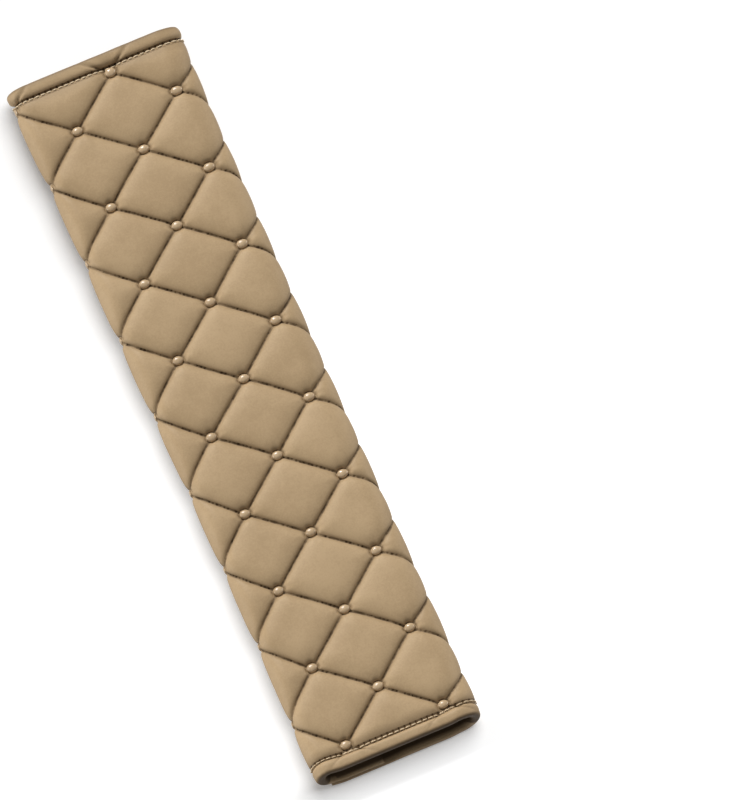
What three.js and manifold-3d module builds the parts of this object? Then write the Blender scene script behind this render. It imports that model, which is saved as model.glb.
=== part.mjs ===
// A seat belt shoulder pad: a quilted leatherette sleeve, lined and filled with foam, that lies flat on
// its closed back. The sheet is folded round a belt channel, and its two long edges overlap underneath,
// where a hook tape holds a loop tape. Both ends are turned hems with a row of stitches.
//
// Millimetres. +X across the belt, +Y along it, +Z up, origin under the middle of the pad on the floor.
import * as THREE from "three";
import { mergeVertices } from "three/addons/utils/BufferGeometryUtils.js";
import Module from "manifold-3d";

const wasm = await Module();
wasm.setup();
const { Manifold, Mesh } = wasm;

// Overall size, and the room left for the belt
const length = 286;
const width = 65;
const channelHeight = 4.6;

// The layers of the wall, from the channel outwards
const liningThickness = 0.4;
const leatherThickness = 0.8;
const foamUnderLines = 0.5;
const puffHeight = 2.0;
const puffHeightOnFolds = 0.76;
const clearance = 0.25;
// How flat simplified faces have to be
const flatness = 0.002;

// The quilting: rhombs between lines that cross at pressed bosses
const halfPitchAcross = 19;
const halfPitchesAlong = 17;
const firstColumnFromEdge = 17.5;
const puffFullness = 2.6;
const foldOnset = 1.5;
const stepsPerRhomb = 4;
const bossHalfWidth = 2.0;
const bossHalfLength = 1.7;
const bossHeight = 0.9;
const bossSides = 6;
const farBossFromThread = 0.35;
const nearBossFromThread = 1.95;
const bossShoulder = [0.7, 0.8];

// The turned hems at both ends
const hemLength = 5.6;
const hemThickness = 4.0;
const hemTurnIn = 1.2;
const hemGroove = 0.2;
const pressedBesideSeam = 3;
const threadThickness = 0.3;
const threadGap = 0.05;
// A hem's roll from the seam over its end: shares of its length from that end, and of its thickness
const rollShape = [
  [0.8, 0.9],
  [0.5, 1],
  [0.22, 0.93],
  [0.05, 0.75],
  [0, 0.5],
  [0.05, 0.25],
  [0.22, 0],
];

// The closure underneath
const tapeWidth = 16;
const tapeThickness = 0.8;
const tapeCentreFromEdge = 16.5;
const tapeMargin = 2.5;
const tapeEndGap = 3;
const tapeSeamInset = 1.2;
const flapTaper = 7;
const puffPressedFlat = 0.7;

// Wall thicknesses that follow from the layers
const skinStart = liningThickness + clearance;
const thinWall = skinStart + leatherThickness;
const lineWall = skinStart + foamUnderLines + clearance + leatherThickness;
const puffWall = lineWall + puffHeight;
const thinHem = 2 * (leatherThickness + clearance);

// Heights of the lining's face at each level of the section
const outerFlapFace = thinHem;
const hookBottom = outerFlapFace + clearance;
const loopBottom = hookBottom + tapeThickness + clearance;
const innerFlapFace = loopBottom + tapeThickness + clearance + thinWall;
const frontFace = innerFlapFace + channelHeight;
const backFace = puffWall - puffPressedFlat;

// The two folds, and where each stretch of the section begins and ends across the pad
const leftRadius = (frontFace - innerFlapFace) / 2;
const rightRadius = (frontFace - backFace) / 2;
const leftBend = -width / 2 + puffWall + leftRadius;
const rightBend = width / 2 - puffWall - rightRadius;
const tapeCentre = -width / 2 + tapeCentreFromEdge;
const outerFlapEdge = tapeCentre - tapeWidth / 2 - tapeMargin;
const innerFlapEdge = tapeCentre + tapeWidth / 2 + tapeMargin;
const taperEnd = innerFlapEdge + tapeMargin;
const taperStart = taperEnd + flapTaper;

// Distances along the sheet are measured where it neither stretches nor creases, from the first line of
// bosses, which lies on the left fold
const neutralDepth = (lineWall + puffWall) / 2;
const leftArc = Math.PI * (leftRadius + neutralDepth);
const rightArc = Math.PI * (rightRadius + neutralDepth);
const uFront = leftBend + width / 2 - firstColumnFromEdge + halfPitchAcross;
const uLeft = uFront - leftArc;
const uStart = uLeft - (innerFlapEdge - leftBend);
const uRight = uFront + rightBend - leftBend;
const uBack = uRight + rightArc;
const uTaper = uBack + rightBend - taperStart;
const uThin = uTaper + flapTaper;
const uEnd = uThin + taperEnd - outerFlapEdge;

// The quilting along the sheet, from the far seam to the near one
const fieldLength = length - 2 * hemLength;
const farMargin = threadThickness / 2 + farBossFromThread + bossHalfLength;
const nearMargin = threadThickness / 2 + nearBossFromThread + bossHalfLength;
const halfPitchAlong = (fieldLength - farMargin - nearMargin) / halfPitchesAlong;

const leather = new THREE.MeshStandardMaterial({ color: 0xb89b74, roughness: 0.62, metalness: 0 });
const foam = new THREE.MeshStandardMaterial({ color: 0xe6dcc2, roughness: 0.95, metalness: 0 });
const liningCloth = new THREE.MeshStandardMaterial({ color: 0x8d765a, roughness: 0.9, metalness: 0 });
const tapeCloth = new THREE.MeshStandardMaterial({ color: 0x9c8564, roughness: 0.95, metalness: 0 });
const thread = new THREE.MeshStandardMaterial({ color: 0xcdb58f, roughness: 0.7, metalness: 0 });

const smooth = (from, to, x) => THREE.MathUtils.smoothstep(x, from, to);
const mix = (a, b, t) => a + (b - a) * t;

// The lining's face and the way out of the wall, at a distance u along the sheet.
function section(u) {
  if (u < uLeft) return { x: leftBend + uLeft - u, z: innerFlapFace, nx: 0, nz: -1 };
  if (u < uFront) {
    const turn = (Math.PI * (u - uLeft)) / leftArc;
    const nx = -Math.sin(turn);
    const nz = -Math.cos(turn);
    const middle = innerFlapFace + leftRadius;
    return { x: leftBend + leftRadius * nx, z: middle + leftRadius * nz, nx, nz };
  }
  if (u < uRight) return { x: leftBend + u - uFront, z: frontFace, nx: 0, nz: 1 };
  if (u < uBack) {
    const turn = (Math.PI * (u - uRight)) / rightArc;
    const nx = Math.sin(turn);
    const nz = Math.cos(turn);
    const middle = backFace + rightRadius;
    return { x: rightBend + rightRadius * nx, z: middle + rightRadius * nz, nx, nz };
  }
  const z = mix(backFace, outerFlapFace, smooth(uTaper, uThin, u));
  return { x: rightBend + uBack - u, z, nx: 0, nz: -1 };
}

// A point of the wall: u along the sheet, v from the far seam towards the near end, and a depth outwards.
function place(u, v, depth) {
  const at = section(u);
  return [at.x + at.nx * depth, length / 2 - hemLength - v, at.z + at.nz * depth];
}

// How much padding the sheet holds: all of it round the channel, and none where the flaps overlap.
function padding(u) {
  return smooth(uLeft, uLeft + flapTaper, u) * (1 - smooth(uTaper, uThin, u));
}

// How deep the quilting goes: all of its depth where the sheet is flat, less where a fold draws it tight.
function slack(u) {
  const lost = 1 - puffHeightOnFolds / puffHeight;
  return 1 - lost * Math.abs(section(u).nx) ** foldOnset;
}

// The wall's thickness on a quilting line.
function lineWallAt(u) {
  return mix(thinWall, lineWall + puffHeight * (1 - slack(u)), padding(u));
}

// A wall that meets the floor is pressed flat on it.
function aboveFloor(u, wall) {
  const at = section(u);
  return at.nz < 0 ? Math.min(wall, at.z / -at.nz) : wall;
}

// One line direction's share of a puff: nothing on a quilting line and full between two of them.
function swell(lines) {
  const between = lines - Math.floor(lines);
  return 1 - Math.abs(2 * between - 1) ** puffFullness;
}

// The wall's thickness over the field between the seams.
function quiltedWall(u, v) {
  const across = u / (2 * halfPitchAcross);
  const along = (v - farMargin) / (2 * halfPitchAlong);
  const fromSeam = (Math.min(v, fieldLength - v) - pressedBesideSeam) / halfPitchAlong;
  const held = 1 - (1 - THREE.MathUtils.clamp(fromSeam, 0, 1)) ** puffFullness;
  const full = swell(across + along) * swell(across - along) * held;
  return aboveFloor(u, mix(lineWallAt(u), mix(thinWall, puffWall, padding(u)), full));
}

// The columns at which every bent piece has its corners, so that neighbours turn the folds together.
function columns(from, to) {
  const step = halfPitchAcross / stepsPerRhomb;
  const found = [from];
  for (let k = Math.floor(from / step) + 1; k * step < to; k++) {
    if (k * step - from > clearance && to - k * step > clearance) found.push(k * step);
  }
  return [...found, to];
}

// A closed solid from corners and triangles, turned to face outwards.
function solid(corners, triangles) {
  const vertProperties = new Float32Array(corners.flat());
  const made = (faces) =>
    new Manifold(new Mesh({ numProp: 3, vertProperties, triVerts: new Uint32Array(faces.flat()) }));
  const asGiven = made(triangles);
  return asGiven.volume() > 0 ? asGiven : made(triangles.map(([a, b, c]) => [a, c, b]));
}

// What a polygon keeps on one side of a line of constant u (axis 0) or v (axis 1). Its corners are [u, v]
// with the two points that the layer has there, and a corner that the line makes lies between its neighbours.
function clip(polygon, axis, limit, keepBelow) {
  const inside = (p) => (keepBelow ? p[axis] <= limit : p[axis] >= limit);
  const kept = [];
  polygon.forEach((p, i) => {
    const q = polygon[(i + 1) % polygon.length];
    if (inside(p)) kept.push(p);
    if (inside(p) !== inside(q)) {
      const [low, high] = p[axis] < q[axis] ? [p, q] : [q, p];
      const t = (limit - low[axis]) / (high[axis] - low[axis]);
      kept.push(low.map((value, k) => (k === axis ? limit : mix(value, high[k], t))));
    }
  });
  return kept;
}

// A quilted layer between two depths, each a function of u and v. It is cut from a sheet of triangles with
// sides along the quilting lines, and every layer uses the same ones, so that they nest.
function quiltedLayer(uFrom, uTo, vFrom, vTo, inner, outer) {
  const corner = (a, b) => {
    const u = ((a + b) * halfPitchAcross) / stepsPerRhomb;
    const v = farMargin + ((a - b) * halfPitchAlong) / stepsPerRhomb;
    return [u, v, ...place(u, v, outer(u, v)), ...place(u, v, inner(u, v))];
  };
  const points = [];
  const known = new Map();
  const index = (point) => {
    const key = point[0].toFixed(4) + " " + point[1].toFixed(4);
    if (!known.has(key)) known.set(key, points.push(point) - 1);
    return known.get(key);
  };
  const triangles = [];
  const reach = Math.ceil(stepsPerRhomb * ((uTo - uFrom) / halfPitchAcross + halfPitchesAlong + 4));
  for (let a = -reach; a < reach; a++) {
    for (let b = -reach; b < reach; b++) {
      const [left, top] = [corner(a, b), corner(a, b + 1)];
      const [bottom, right] = [corner(a + 1, b), corner(a + 1, b + 1)];
      if (right[0] <= uFrom || left[0] >= uTo || bottom[1] <= vFrom || top[1] >= vTo) continue;
      for (const half of [[left, top, bottom], [right, bottom, top]]) {
        let kept = clip(half, 0, uFrom, false);
        kept = clip(kept, 0, uTo, true);
        kept = clip(kept, 1, vFrom, false);
        kept = clip(kept, 1, vTo, true);
        const ring = kept.map(index).filter((n, i, all) => n !== all[(i + 1) % all.length]);
        for (let i = 1; i + 1 < ring.length; i++) triangles.push([ring[0], ring[i], ring[i + 1]]);
      }
    }
  }
  const count = points.length;
  const corners = [...points.map((p) => p.slice(2, 5)), ...points.map((p) => p.slice(5))];
  const faces = [...triangles, ...triangles.map(([a, b, c]) => [count + a, count + c, count + b])];
  const edges = new Set(triangles.flatMap(([a, b, c]) => [a + ">" + b, b + ">" + c, c + ">" + a]));
  for (const edge of edges) {
    const [a, b] = edge.split(">").map(Number);
    if (edges.has(b + ">" + a)) continue;
    faces.push([b, a, count + a], [b, count + a, count + b]);
  }
  return solid(corners, faces);
}

// A profile of [v, depth] corners carried round the section, and closed at both ends.
function carried(stations, profile) {
  const rings = stations.map((u) => profile(u));
  const size = rings[0].length;
  const corners = rings.flatMap((ring, k) => ring.map(([v, depth]) => place(stations[k], v, depth)));
  const faces = [];
  for (let k = 0; k + 1 < stations.length; k++) {
    for (let i = 0; i < size; i++) {
      const j = (i + 1) % size;
      const [p, q, r, s] = [k * size + i, k * size + j, (k + 1) * size + j, (k + 1) * size + i];
      faces.push([p, q, r], [p, r, s]);
    }
  }
  const outline = (ring) => ring.map(([v, depth]) => new THREE.Vector2(v, depth));
  const turn = THREE.ShapeUtils.isClockWise(outline(rings[0])) ? -1 : 1;
  const cap = (k, side) => {
    for (const [a, b, c] of THREE.ShapeUtils.triangulateShape(outline(rings[k]), [])) {
      const ordered = side * turn > 0 ? [a, b, c] : [a, c, b];
      faces.push(ordered.map((i) => k * size + i));
    }
  };
  cap(0, -1);
  cap(stations.length - 1, 1);
  return solid(corners, faces);
}

// The end of the sheet turned back on itself: a round roll from the end to the seam, and a tail past it.
function hem(far) {
  const seam = far ? 0 : fieldLength;
  const outwards = far ? -1 : 1;
  const at = (fromEnd) => seam + outwards * (hemLength - fromEnd);
  return carried(columns(uStart, uEnd), (u) => {
    const thick = aboveFloor(u, mix(thinHem, hemThickness, padding(u)));
    const groove = aboveFloor(u, lineWallAt(u)) - hemGroove;
    return [
      [at(hemLength + hemTurnIn), groove],
      [at(hemLength), groove],
      ...rollShape.map(([along, up]) => [at(along * hemLength), up * thick]),
      [at(hemLength + hemTurnIn), 0],
    ];
  });
}

// Turns a three.js geometry into a solid.
function solidOf(geometry) {
  const bare = geometry.clone();
  bare.deleteAttribute("normal");
  bare.deleteAttribute("uv");
  const merged = mergeVertices(bare);
  return new Manifold(
    new Mesh({
      numProp: 3,
      vertProperties: new Float32Array(merged.attributes.position.array),
      triVerts: new Uint32Array(merged.index.array),
    }),
  );
}

// A low dome pressed up where two quilting lines cross, standing on the leather.
function boss(u, v) {
  const at = section(u);
  const sunk = leatherThickness / 2;
  const height = bossHeight * slack(u);
  const [shoulder, shoulderHeight] = bossShoulder;
  const profile = [
    [0, -sunk],
    [1, -sunk],
    [shoulder, shoulderHeight * height],
    [0, height],
  ];
  const dome = new THREE.LatheGeometry(profile.map(([r, h]) => new THREE.Vector2(r, h)), bossSides);
  const across = new THREE.Vector3(at.nz, 0, -at.nx).multiplyScalar(bossHalfWidth);
  const outwards = new THREE.Vector3(at.nx, 0, at.nz);
  const along = new THREE.Vector3(0, -bossHalfLength, 0);
  dome.applyMatrix4(new THREE.Matrix4().makeBasis(across, outwards, along));
  dome.translate(...place(u, v, aboveFloor(u, lineWallAt(u))));
  return solidOf(dome);
}

// Every crossing of two lines on the padded part of the sheet.
function bosses() {
  const found = [];
  for (let column = 0; column * halfPitchAcross < uTaper; column++) {
    for (let row = column % 2; row <= halfPitchesAlong; row += 2) {
      found.push(boss(column * halfPitchAcross, farMargin + row * halfPitchAlong));
    }
  }
  return found;
}

function coverSolid() {
  const inside = (u, v) => quiltedWall(u, v) - leatherThickness;
  const field = quiltedLayer(uStart, uEnd, 0, fieldLength, inside, quiltedWall);
  return [hem(true), hem(false), ...bosses()].reduce((whole, piece) => whole.add(piece), field);
}

// What fills the sleeve between the hems' tails.
const fillStart = hemTurnIn + clearance;
const fillEnd = fieldLength - fillStart;

function foamSolid() {
  const from = uLeft + flapTaper / 2;
  const to = uTaper + flapTaper / 4;
  const inside = () => skinStart;
  const outside = (u, v) => quiltedWall(u, v) - leatherThickness - clearance;
  return quiltedLayer(from, to, fillStart, fillEnd, inside, outside);
}

function liningSolid() {
  return carried(columns(uStart, uEnd), () => [
    [fillStart, 0],
    [fillStart, liningThickness],
    [fillEnd, liningThickness],
    [fillEnd, 0],
  ]);
}

// The row of stitches that lies in the groove beside a hem.
function hemThreadSolid(far) {
  const seam = far ? 0 : fieldLength;
  return carried(columns(uStart, uEnd), (u) => {
    const bottom = lineWallAt(u) + clearance;
    return [
      [seam - threadThickness / 2, bottom],
      [seam + threadThickness / 2, bottom],
      [seam + threadThickness / 2, bottom + threadThickness],
      [seam - threadThickness / 2, bottom + threadThickness],
    ];
  });
}

// A solid as a geometry, with its flat faces in as few triangles as they need.
function geometryOf(made) {
  const { numProp, vertProperties, triVerts } = made.asOriginal().simplify(flatness).getMesh();
  const positions = new Float32Array((vertProperties.length / numProp) * 3);
  for (let i = 0; i * 3 < positions.length; i++) {
    positions.set(vertProperties.subarray(i * numProp, i * numProp + 3), i * 3);
  }
  return new THREE.BufferGeometry()
    .setAttribute("position", new THREE.BufferAttribute(positions, 3))
    .setIndex(new THREE.BufferAttribute(triVerts, 1));
}

const pad = new THREE.Group();

function addPiece(name, geometry, material, position = [0, 0, 0]) {
  const mesh = new THREE.Mesh(geometry, material);
  mesh.name = name;
  mesh.position.set(...position);
  pad.add(mesh);
}

addPiece("quilted_cover", geometryOf(coverSolid()), leather);
addPiece("foam_padding", geometryOf(foamSolid()), foam);
addPiece("lining", geometryOf(liningSolid()), liningCloth);
addPiece("far_hem_thread", geometryOf(hemThreadSolid(true)), thread);
addPiece("near_hem_thread", geometryOf(hemThreadSolid(false)), thread);

// The two tapes of the closure lie face to face between the flaps, each held by two rows of stitches.
const tapeLength = fieldLength - 2 * (fillStart + tapeEndGap);
const tape = new THREE.BoxGeometry(tapeWidth, tapeLength, tapeThickness);
addPiece("hook_tape", tape, tapeCloth, [tapeCentre, 0, hookBottom + tapeThickness / 2]);
addPiece("loop_tape", tape, tapeCloth, [tapeCentre, 0, loopBottom + tapeThickness / 2]);

const tapeThread = new THREE.BoxGeometry(threadThickness, tapeLength, threadThickness);
const underOuterFlap = outerFlapFace - thinWall - threadThickness / 2 - threadGap;
const overInnerFlap = innerFlapFace + threadThickness / 2 + threadGap;
for (const [side, way] of [["left", -1], ["right", 1]]) {
  const x = tapeCentre + way * (tapeWidth / 2 - tapeSeamInset);
  addPiece("hook_tape_thread_" + side, tapeThread, thread, [x, 0, underOuterFlap]);
  addPiece("loop_tape_thread_" + side, tapeThread, thread, [x, 0, overInnerFlap]);
}

export default pad;
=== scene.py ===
import math

import bpy
import numpy as np
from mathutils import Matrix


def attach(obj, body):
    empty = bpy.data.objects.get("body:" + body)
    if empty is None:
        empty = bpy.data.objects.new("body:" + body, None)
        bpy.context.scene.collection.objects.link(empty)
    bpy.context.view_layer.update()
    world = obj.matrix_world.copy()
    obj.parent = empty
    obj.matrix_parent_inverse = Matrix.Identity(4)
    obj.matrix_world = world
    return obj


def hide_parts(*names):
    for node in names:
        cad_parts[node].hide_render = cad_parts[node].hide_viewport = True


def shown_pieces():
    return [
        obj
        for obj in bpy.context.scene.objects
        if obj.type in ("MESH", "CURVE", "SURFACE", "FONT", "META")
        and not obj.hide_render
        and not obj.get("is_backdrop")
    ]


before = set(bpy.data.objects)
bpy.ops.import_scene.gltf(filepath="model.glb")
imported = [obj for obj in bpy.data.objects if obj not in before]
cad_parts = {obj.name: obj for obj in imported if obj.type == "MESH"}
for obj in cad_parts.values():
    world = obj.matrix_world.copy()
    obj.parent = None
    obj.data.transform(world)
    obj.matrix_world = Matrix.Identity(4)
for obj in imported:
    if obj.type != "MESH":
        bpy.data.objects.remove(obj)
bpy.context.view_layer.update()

# Lining: a brushed brown knit that faces the belt channel, laminated to the foam and folded with it
# into a flat sleeve. Its shape sets the place of every other layer, so the sleeve's section is here:
# inner flap, left fold, front, right fold, back, and a taper to the outer flap. All in millimetres.
MM = 0.001
pad_length, pad_width, channel_height = 286.0, 65.0, 4.6
lining_thickness, leather_thickness, foam_under_lines, puff_height = 0.4, 0.8, 0.5, 2.0
gap = 0.25
hem_length, hem_turn_in = 5.6, 1.2
tape_width, tape_thickness, tape_centre_from_edge, tape_margin = 16.0, 0.8, 16.5, 2.5
flap_taper, puff_pressed_flat, first_column_from_edge = 7.0, 0.7, 17.5
half_pitch_across = 19.0

thin_wall = lining_thickness + gap + leather_thickness
line_wall = thin_wall + foam_under_lines + gap
puff_wall = line_wall + puff_height
thin_hem = 2 * (leather_thickness + gap)
outer_flap_face = thin_hem
hook_bottom = outer_flap_face + gap
loop_bottom = hook_bottom + tape_thickness + gap
inner_flap_face = loop_bottom + tape_thickness + gap + thin_wall
front_face = inner_flap_face + channel_height
back_face = puff_wall - puff_pressed_flat
left_radius, right_radius = (front_face - inner_flap_face) / 2, (front_face - back_face) / 2
left_bend = -pad_width / 2 + puff_wall + left_radius
right_bend = pad_width / 2 - puff_wall - right_radius
tape_centre = -pad_width / 2 + tape_centre_from_edge
outer_flap_edge = tape_centre - tape_width / 2 - tape_margin
inner_flap_edge = tape_centre + tape_width / 2 + tape_margin
taper_end = inner_flap_edge + tape_margin
neutral_depth = (line_wall + puff_wall) / 2
left_arc = math.pi * (left_radius + neutral_depth)
right_arc = math.pi * (right_radius + neutral_depth)
u_front = left_bend + pad_width / 2 - first_column_from_edge + half_pitch_across
u_left = u_front - left_arc
u_start = u_left - (inner_flap_edge - left_bend)
u_right = u_front + right_bend - left_bend
u_back = u_right + right_arc
u_taper = u_back + right_bend - taper_end - flap_taper
u_thin = u_taper + flap_taper
u_end = u_thin + taper_end - outer_flap_edge
field_length = pad_length - 2 * hem_length

# What folding by hand does to the straight sleeve: how far each part moves, and over which stretch
far_flare, flare_reach = 0.95, 30
right_fold_out, right_fold_out_far, right_fold_reach, right_fold_from_to = 1.95, 0.75, 35, (23.8, 28.4)
left_fold_out_far, left_fold_reach, left_fold_from_to = 0.35, 25, (18, 27)
left_fold_in_steps = ((0.25, 20, 50), (0.55, 110, 170), (-0.5, 240, 262))
under_past_near, under_past_far, under_reach = 0.75, 0.55, 45
near_hem_in, near_hem_reach, near_seam_reach, near_seam_from_to = 0.85, 3, 3.5, (17, 29)
far_seam_out, far_seam_reach = 0.35, 1.8
near_corner_in, near_corner_back, near_corner_reach, near_corner_from_to = 0.6, 1.1, 4, (20, 33)
far_corner_in, far_corner_back, far_corner_start, far_corner_from_to = 0.5, 0.7, 2, (24, 33)


def ease(low, high, x):
    """0 below low and 1 above high, with a smooth S between them: t * t * (3 - 2 * t)."""
    t = np.clip((x - low) / (high - low), 0, 1)
    return t * t * (3 - 2 * t)


def section(u):
    """The lining's face (x, z) and the way out of the wall (nx, nz) at u along the sheet: straight runs
    along x, joined by half circles of the left and the right fold, and an S-shaped step at the taper."""
    left = np.pi * np.clip((u - u_left) / left_arc, 0, 1)
    right = np.pi * np.clip((u - u_right) / right_arc, 0, 1)
    on_left = u < u_front
    nx = np.where(on_left, -np.sin(left), np.sin(right))
    nz = np.where(on_left, -np.cos(left), np.cos(right))
    x_left = left_bend - left_radius * np.sin(left) + np.clip(u_left - u, 0, None)
    x_right = right_bend + right_radius * np.sin(right) - np.clip(u - u_back, 0, None)
    x_right = np.where(u < u_right, left_bend + u - u_front, x_right)
    z_left = inner_flap_face + left_radius * (1 - np.cos(left))
    z_right = back_face + right_radius * (1 + np.cos(right))
    z_right = z_right + (outer_flap_face - back_face) * ease(u_taper, u_thin, u)
    return np.where(on_left, x_left, x_right), np.where(on_left, z_left, z_right), nx, nz


def lie(u, v):
    """How the made pad departs from a straight sleeve: it flares towards the far end, its right fold lies
    further out and its left fold lies in towards the near end, its underside reaches past its front at
    both ends, and the near hem's front and both hems' corners are drawn in. Each is a distance times
    smooth steps along and across the pad. Returns what is added to x and to y."""
    x, _, _, nz = section(u)
    along, side = np.clip(v, 0, None), np.abs(x)
    flare = far_flare * np.exp(-np.clip(v + hem_length, 0, None) / flare_reach)
    right_out = right_fold_out + right_fold_out_far * np.exp(-along / right_fold_reach)
    left_in = sum(step * ease(start, end, v) for step, start, end in left_fold_in_steps)
    left_in = left_in - left_fold_out_far * np.exp(-along / left_fold_reach)
    under = (1 - nz) / 2
    past_near = under_past_near * ease(field_length - under_reach, field_length, v)
    past_far = under_past_far * (1 - ease(0, under_reach, v))
    near_seam = ease(field_length - near_seam_reach, field_length, v) * ease(*near_seam_from_to, side)
    near_hem = ease(field_length, field_length + near_hem_reach, v)
    drawn_in = near_hem_in * np.maximum(near_seam, near_hem)
    drawn_in = drawn_in + far_seam_out * np.exp(-(v / far_seam_reach) ** 2)
    near_corner = ease(*near_corner_from_to, side) * ease(field_length, field_length + near_corner_reach, v)
    far_corner = ease(*far_corner_from_to, side) * ease(far_corner_start, hem_length, -v)
    corner_in = near_corner_in * near_corner + far_corner_in * far_corner
    more_x = x / (pad_width / 2) * flare + right_out * ease(*right_fold_from_to, x)
    more_x = more_x + left_in * ease(*left_fold_from_to, -x) - np.sign(x) * corner_in
    more_y = under * (past_far - past_near) + (1 - under) * drawn_in
    more_y = more_y + near_corner_back * near_corner - far_corner_back * far_corner
    return more_x, more_y


def place(u, v, depth):
    """Points of the wall in metres: the section at u, pushed out by depth, at v from the far seam."""
    u, v, depth = np.broadcast_arrays(u, v, depth)
    x, z, nx, nz = section(u)
    more_x, more_y = lie(u, v)
    y = pad_length / 2 - hem_length - v
    return np.stack([x + more_x + nx * depth, y + more_y, z + nz * depth], -1) * MM


def grid_quads(rows, columns, closed=False):
    """Corner numbers of a grid's quads, wound so that they face outwards where the rows run towards the
    near end and the columns run round the section. A closed grid joins its last row to its first."""
    r = np.arange(rows if closed else rows - 1)[:, None]
    c = np.arange(columns - 1)[None, :]
    below = (r + 1) % rows
    corners = np.stack(np.broadcast_arrays(
        r * columns + c, below * columns + c, below * columns + c + 1, r * columns + c + 1), -1)
    return corners.reshape(-1, 4)


def make_piece(name, points, *faces):
    """A mesh object from an array of points and arrays of faces, each array with one number of corners."""
    mesh = bpy.data.meshes.new(name)
    corners = np.concatenate([f.ravel() for f in faces])
    counts = np.concatenate([np.full(len(f), f.shape[1]) for f in faces])
    mesh.vertices.add(points.reshape(-1, 3).shape[0])
    mesh.vertices.foreach_set("co", points.astype(np.float32).ravel())
    mesh.loops.add(len(corners))
    mesh.loops.foreach_set("vertex_index", corners.astype(np.int32))
    mesh.polygons.add(len(counts))
    mesh.polygons.foreach_set("loop_start", (np.cumsum(counts) - counts).astype(np.int32))
    mesh.polygons.foreach_set("use_smooth", np.full(len(counts), True))
    mesh.update(calc_edges=True)
    made = bpy.data.objects.new(name, mesh)
    bpy.context.scene.collection.objects.link(made)
    return made


def closed_wall(name, points):
    """A closed wall from a grid of points: its rows run down the outer skin and back up the inner one,
    the last row joins the first, and a face with one corner on each row caps both ends of the rows."""
    rows, columns = points.shape[:2]
    ring = np.arange(rows) * columns
    caps = np.stack([ring, ring[::-1] + columns - 1])
    return make_piece(name, points, grid_quads(rows, columns, closed=True), caps)


class Shade:
    """One value inside a material. Arithmetic on it adds Math nodes, and make adds any other node."""

    def __init__(self, tree, socket=None):
        self.tree, self.socket = tree, socket

    def make(self, kind, settings=None, inputs=None, output=0):
        """A node of a kind, with its settings made first, and then its sockets' values or links."""
        node = self.tree.nodes.new("ShaderNode" + kind)
        for key, value in (settings or {}).items():
            setattr(node, key, value)
        for key, value in (inputs or {}).items():
            if isinstance(value, Shade):
                self.tree.links.new(value.socket, node.inputs[key])
            else:
                node.inputs[key].default_value = value
        return Shade(self.tree, node.outputs[output])

    def math(self, operation, *others):
        return self.make("Math", {"operation": operation}, dict(enumerate((self, *others))))

    def __add__(self, other):
        return self.math("ADD", other)

    def __sub__(self, other):
        return self.math("SUBTRACT", other)

    def __mul__(self, other):
        return self.math("MULTIPLY", other)

    def __rsub__(self, other):
        return self.make("Math", {"operation": "SUBTRACT"}, {0: other, 1: self})

    __radd__, __rmul__ = __add__, __mul__

    def between(self, low, high, start=0.0, end=1.0):
        """start below low and end above high, with a smooth S between them."""
        return self.make(
            "MapRange",
            {"interpolation_type": "SMOOTHSTEP"},
            {"Value": self, "From Min": low, "From Max": high, "To Min": start, "To Max": end},
        )

    def mix(self, first, second):
        """The colour first where this value is 0, and second where it is 1."""
        return self.make("Mix", {"data_type": "RGBA"}, {0: self, 6: first, 7: second}, 2)

    def split(self):
        """The three parts of a vector."""
        parts = self.make("SeparateXYZ", {}, {0: self}).socket.node.outputs
        return [Shade(self.tree, part) for part in parts]

    def noise(self, scale, detail, roughness=0.5):
        """Cloudy noise at this place, from 0 to 1, with scale features to the metre."""
        return self.make("TexNoise", {}, {
            "Vector": self, "Scale": scale, "Detail": detail, "Roughness": roughness})

    def bump(self, strength, distance, invert=False):
        """The surface's direction where this value is its height, 1 for distance metres."""
        return self.make("Bump", {"invert": invert}, {
            "Strength": strength, "Distance": distance, "Height": self})


def new_material(name, roughness, specular, sheen=0.0):
    """A material, the place on its piece in metres, and its surface shader."""
    material = bpy.data.materials.new(name)
    material.use_nodes = True
    surface = material.node_tree.nodes["Principled BSDF"]
    surface.inputs["Roughness"].default_value = roughness
    surface.inputs["Specular IOR Level"].default_value = specular
    surface.inputs["Sheen Weight"].default_value = sheen
    where = Shade(material.node_tree).make("TexCoord", {}, {}, "Object")
    return material, where, surface


def feed(surface, **values):
    """Links values to the surface shader's sockets, with _ for a space."""
    for key, value in values.items():
        value.tree.links.new(value.socket, surface.inputs[key.replace("_", " ")])


# Rows of knitted loops are a wave across the pad and a wave along it that the first one nudges
knit_dark, knit_light = (0.035, 0.023, 0.012, 1), (0.08, 0.054, 0.03, 1)
wale_turns, course_turns, course_nudge = 7000.0, 9000.0, 0.8
lining_material, where, surface = new_material("brushed knit", 0.92, 0.2, 0.3)
x_at, y_at, _ = where.split()
wales = (x_at * wale_turns).math("SINE")
loops = wales * (y_at * course_turns + wales * course_nudge).math("SINE")
fuzz = where.noise(900.0, 3.0)
feed(surface, Base_Color=(fuzz * 0.7 + loops * 0.15 + 0.1).mix(knit_dark, knit_light))
feed(surface, Normal=(fuzz + loops * 0.5).bump(0.5, 0.0002))

fill_start = hem_turn_in + gap
fill_end = field_length - fill_start
lining_rows, lining_columns = 12, 240
lining_u = np.linspace(u_start, u_end, lining_columns)
lining_v = np.linspace(fill_start, fill_end, lining_rows)[:, None]
lining = closed_wall("lining_cloth", np.concatenate([
    place(lining_u, lining_v, lining_thickness), place(lining_u, lining_v[::-1], 0.0)]))
lining.data.materials.append(lining_material)
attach(lining, "root")
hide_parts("lining")
(u_end - u_start) * MM


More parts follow.
